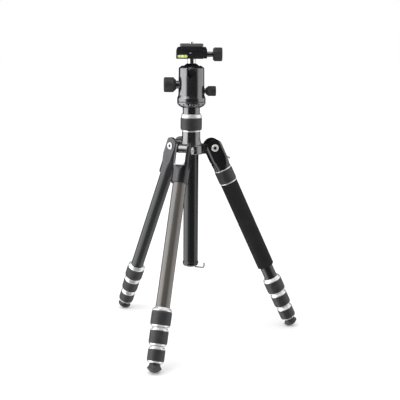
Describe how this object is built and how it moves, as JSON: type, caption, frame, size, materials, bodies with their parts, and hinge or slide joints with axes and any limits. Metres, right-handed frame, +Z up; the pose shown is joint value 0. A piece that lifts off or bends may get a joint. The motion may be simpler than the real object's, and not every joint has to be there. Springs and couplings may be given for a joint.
{
  "type": "travel tripod with ball head",
  "caption": "Four-section travel tripod with twist locks, sliding centre column, weight hook, ball head and dovetail quick-release clamp.",
  "frame": {"origin": "on the ground under the centre column's axis, with the legs at their first angle stop and all tubes pushed in", "axes": "+Z up along the centre column, +X towards the panning knob, -Y towards the drop notch"},
  "size_m": [0.3678, 0.3752, 0.5612],
  "materials": {
    "castings": "satin black anodised",
    "head_shell": "gunmetal, fine sparkle",
    "bright_aluminium": "fine turned",
    "bright_steel": "polished",
    "carbon_dark": "clear-coated carbon fibre",
    "carbon_grey": "clear-coated, warm grey",
    "grip_rubber": "diamond knurled",
    "foot_rubber": "matte",
    "foam": "closed-cell foam",
    "knob_rubber": "fluted, matte",
    "clamp_black": "black anodised",
    "ball_finish": "hard anodised, polished",
    "nylon": "plain",
    "wire_dark": "dark plated"
  },
  "bodies": {
    "spider": {"spider": "castings", "hinge_bolts": "bright_steel"},
    "leg_1": {"leg_1_top": "castings", "leg_1_tube_1": "carbon_dark", "foam_grip": "foam"},
    "leg_1_latch": {"leg_1_latch": "bright_aluminium"},
    "leg_1_lock_1": {"leg_1_lock_1": "bright_aluminium", "leg_1_grip_1": "grip_rubber"},
    "leg_1_section_2": {"leg_1_tube_2": "carbon_dark"},
    "leg_1_lock_2": {"leg_1_lock_2": "bright_aluminium", "leg_1_grip_2": "grip_rubber"},
    "leg_1_section_3": {"leg_1_tube_3": "carbon_dark"},
    "leg_1_lock_3": {"leg_1_lock_3": "bright_aluminium", "leg_1_grip_3": "grip_rubber"},
    "leg_1_section_4": {"leg_1_tube_4": "carbon_dark", "leg_1_foot": "foot_rubber"},
    "monopod_collar": {"monopod_collar": "grip_rubber"},
    "leg_2": {"leg_2_top": "castings", "leg_2_tube_1": "carbon_dark"},
    "leg_2_latch": {"leg_2_latch": "bright_aluminium"},
    "leg_2_lock_1": {"leg_2_lock_1": "bright_aluminium", "leg_2_grip_1": "grip_rubber"},
    "leg_2_section_2": {"leg_2_tube_2": "carbon_dark"},
    "leg_2_lock_2": {"leg_2_lock_2": "bright_aluminium", "leg_2_grip_2": "grip_rubber"},
    "leg_2_section_3": {"leg_2_tube_3": "carbon_dark"},
    "leg_2_lock_3": {"leg_2_lock_3": "bright_aluminium", "leg_2_grip_3": "grip_rubber"},
    "leg_2_section_4": {"leg_2_tube_4": "carbon_dark", "leg_2_foot": "foot_rubber"},
    "leg_3": {"leg_3_top": "castings", "leg_3_tube_1": "carbon_grey"},
    "leg_3_latch": {"leg_3_latch": "bright_aluminium"},
    "leg_3_lock_1": {"leg_3_lock_1": "bright_aluminium", "leg_3_grip_1": "grip_rubber"},
    "leg_3_section_2": {"leg_3_tube_2": "carbon_grey"},
    "leg_3_lock_2": {"leg_3_lock_2": "bright_aluminium", "leg_3_grip_2": "grip_rubber"},
    "leg_3_section_3": {"leg_3_tube_3": "carbon_grey"},
    "leg_3_lock_3": {"leg_3_lock_3": "bright_aluminium", "leg_3_grip_3": "grip_rubber"},
    "leg_3_section_4": {"leg_3_tube_4": "carbon_grey", "leg_3_foot": "foot_rubber"},
    "column": {"column_tube": "carbon_dark", "column_platform": "castings", "column_cap": "castings", "pan_base": "castings"},
    "column_lock": {"column_lock_collar": "bright_aluminium", "column_lock_grip": "grip_rubber"},
    "hook": {"hook": "wire_dark"},
    "housing": {"housing": "head_shell", "ball_cup": "nylon"},
    "lock_knob": {"lock_knob": "knob_rubber"},
    "pan_knob": {"pan_knob": "knob_rubber"},
    "ball": {"ball_stem": "ball_finish"},
    "clamp": {"clamp_body": "clamp_black"},
    "clamp_jaw": {"clamp_jaw": "clamp_black"},
    "clamp_knob": {"clamp_knob": "knob_rubber"},
    "plate": {"quick_release_plate": "clamp_black"},
    "camera_screw": {"camera_screw": "bright_steel"}
  },
  "joints": [
    {"name": "leg_1_hinge", "type": "hinge", "parent": "spider", "child": "leg_1", "pos_m": [0.04136, 0.00932, 0.36542], "axis": [0.2198, -0.9755, 0], "range_deg": [-24.7, 140.3]},
    {"name": "leg_1_latch_pull", "type": "slide", "parent": "leg_1", "child": "leg_1_latch", "axis": [0.8863, 0.1997, 0.4179], "range_m": [0, 0.005], "stiffness_N_per_m": 400, "springref_m": -0.004},
    {"name": "leg_1_lock_1_twist", "type": "hinge", "parent": "leg_1", "child": "leg_1_lock_1", "pos_m": [0.15868, 0.03576, 0.10395], "axis": [0.4076, 0.0919, -0.9085], "range_deg": [0, 90]},
    {"name": "leg_1_section_2_slide", "type": "slide", "parent": "leg_1", "child": "leg_1_section_2", "axis": [0.4076, 0.0919, -0.9085], "range_m": [0, 0.205]},
    {"name": "leg_1_lock_2_twist", "type": "hinge", "parent": "leg_1_section_2", "child": "leg_1_lock_2", "pos_m": [0.17262, 0.0389, 0.07288], "axis": [0.4076, 0.0919, -0.9085], "range_deg": [0, 90]},
    {"name": "leg_1_section_3_slide", "type": "slide", "parent": "leg_1_section_2", "child": "leg_1_section_3", "axis": [0.4076, 0.0919, -0.9085], "range_m": [0, 0.205]},
    {"name": "leg_1_lock_3_twist", "type": "hinge", "parent": "leg_1_section_3", "child": "leg_1_lock_3", "pos_m": [0.18575, 0.04186, 0.04362], "axis": [0.4076, 0.0919, -0.9085], "range_deg": [0, 90]},
    {"name": "leg_1_section_4_slide", "type": "slide", "parent": "leg_1_section_3", "child": "leg_1_section_4", "axis": [0.4076, 0.0919, -0.9085], "range_m": [0, 0.205]},
    {"name": "monopod_collar_turn", "type": "hinge", "parent": "leg_1", "child": "monopod_collar", "pos_m": [0.05971, 0.01345, 0.32453], "axis": [0.4076, 0.0919, -0.9085], "range_deg": [0, 1080]},
    {"name": "leg_2_hinge", "type": "hinge", "parent": "spider", "child": "leg_2", "pos_m": [-0.02875, 0.03116, 0.36542], "axis": [0.7349, 0.6782, 0], "range_deg": [-24.7, 140.3]},
    {"name": "leg_2_latch_pull", "type": "slide", "parent": "leg_2", "child": "leg_2_latch", "axis": [-0.6161, 0.6677, 0.4179], "range_m": [0, 0.005], "stiffness_N_per_m": 400, "springref_m": -0.004},
    {"name": "leg_2_lock_1_twist", "type": "hinge", "parent": "leg_2", "child": "leg_2_lock_1", "pos_m": [-0.11031, 0.11954, 0.10395], "axis": [-0.2834, 0.3071, -0.9085], "range_deg": [0, 90]},
    {"name": "leg_2_section_2_slide", "type": "slide", "parent": "leg_2", "child": "leg_2_section_2", "axis": [-0.2834, 0.3071, -0.9085], "range_m": [0, 0.205]},
    {"name": "leg_2_lock_2_twist", "type": "hinge", "parent": "leg_2_section_2", "child": "leg_2_lock_2", "pos_m": [-0.12, 0.13004, 0.07288], "axis": [-0.2834, 0.3071, -0.9085], "range_deg": [0, 90]},
    {"name": "leg_2_section_3_slide", "type": "slide", "parent": "leg_2_section_2", "child": "leg_2_section_3", "axis": [-0.2834, 0.3071, -0.9085], "range_m": [0, 0.205]},
    {"name": "leg_2_lock_3_twist", "type": "hinge", "parent": "leg_2_section_3", "child": "leg_2_lock_3", "pos_m": [-0.12913, 0.13993, 0.04362], "axis": [-0.2834, 0.3071, -0.9085], "range_deg": [0, 90]},
    {"name": "leg_2_section_4_slide", "type": "slide", "parent": "leg_2_section_3", "child": "leg_2_section_4", "axis": [-0.2834, 0.3071, -0.9085], "range_m": [0, 0.205]},
    {"name": "leg_3_hinge", "type": "hinge", "parent": "spider", "child": "leg_3", "pos_m": [-0.01261, -0.04048, 0.36542], "axis": [-0.9548, 0.2974, 0], "range_deg": [-24.7, 140.3]},
    {"name": "leg_3_latch_pull", "type": "slide", "parent": "leg_3", "child": "leg_3_latch", "axis": [-0.2702, -0.8674, 0.4179], "range_m": [0, 0.005], "stiffness_N_per_m": 400, "springref_m": -0.004},
    {"name": "leg_3_lock_1_twist", "type": "hinge", "parent": "leg_3", "child": "leg_3_lock_1", "pos_m": [-0.04837, -0.1553, 0.10395], "axis": [-0.1243, -0.399, -0.9085], "range_deg": [0, 90]},
    {"name": "leg_3_section_2_slide", "type": "slide", "parent": "leg_3", "child": "leg_3_section_2", "axis": [-0.1243, -0.399, -0.9085], "range_m": [0, 0.205]},
    {"name": "leg_3_lock_2_twist", "type": "hinge", "parent": "leg_3_section_2", "child": "leg_3_lock_2", "pos_m": [-0.05262, -0.16895, 0.07288], "axis": [-0.1243, -0.399, -0.9085], "range_deg": [0, 90]},
    {"name": "leg_3_section_3_slide", "type": "slide", "parent": "leg_3_section_2", "child": "leg_3_section_3", "axis": [-0.1243, -0.399, -0.9085], "range_m": [0, 0.205]},
    {"name": "leg_3_lock_3_twist", "type": "hinge", "parent": "leg_3_section_3", "child": "leg_3_lock_3", "pos_m": [-0.05662, -0.1818, 0.04362], "axis": [-0.1243, -0.399, -0.9085], "range_deg": [0, 90]},
    {"name": "leg_3_section_4_slide", "type": "slide", "parent": "leg_3_section_3", "child": "leg_3_section_4", "axis": [-0.1243, -0.399, -0.9085], "range_m": [0, 0.205]},
    {"name": "column_slide", "type": "slide", "parent": "spider", "child": "column", "axis": [0, 0, 1], "range_m": [0, 0.2]},
    {"name": "column_lock_twist", "type": "hinge", "parent": "spider", "child": "column_lock", "pos_m": [0, 0, 0.39622], "axis": [0, 0, 1], "range_deg": [0, 120]},
    {"name": "hook_swing", "type": "hinge", "parent": "column", "child": "hook", "pos_m": [0.00893, -0.00325, 0.13622], "axis": [0, 0, 1], "range_deg": [-100, 100]},
    {"name": "pan", "type": "hinge", "parent": "column", "child": "housing", "pos_m": [0, 0, 0.45202], "axis": [0, 0, 1], "continuous": true},
    {"name": "lock_knob_turn", "type": "hinge", "parent": "housing", "child": "lock_knob", "pos_m": [-0.0279, 0, 0.48252], "axis": [-1, 0, 0], "range_deg": [-90, 180]},
    {"name": "pan_knob_turn", "type": "hinge", "parent": "housing", "child": "pan_knob", "pos_m": [0.0264, 0, 0.47132], "axis": [1, 0, 0], "range_deg": [-90, 360]},
    {"name": "ball_tilt", "type": "hinge", "parent": "housing", "child": "ball", "pos_m": [0, 0, 0.50452], "axis": [1, 0, 0], "range_deg": [-30, 90]},
    {"name": "ball_spin", "type": "hinge", "parent": "ball", "child": "clamp", "pos_m": [0, 0, 0.53072], "axis": [0, 0, 1], "continuous": true},
    {"name": "clamp_jaw_slide", "type": "slide", "parent": "clamp", "child": "clamp_jaw", "axis": [1, 0, 0], "range_m": [0, 0.006]},
    {"name": "clamp_knob_turn", "type": "hinge", "parent": "clamp_jaw", "child": "clamp_knob", "pos_m": [0.0215, 0, 0.53862], "axis": [-1, 0, 0], "range_deg": [0, 2160]},
    {"name": "plate_slide", "type": "slide", "parent": "clamp", "child": "plate", "axis": [0, 1, 0], "range_m": [-0.01, 0.01]},
    {"name": "camera_screw_turn", "type": "hinge", "parent": "plate", "child": "camera_screw", "pos_m": [0, 0, 0.54622], "axis": [0, 0, 1], "continuous": true}
  ],
  "couplings": [
    {"joint": "clamp_knob_turn", "follows": "clamp_jaw_slide", "rad_per_m": 6283.2}
  ]
}
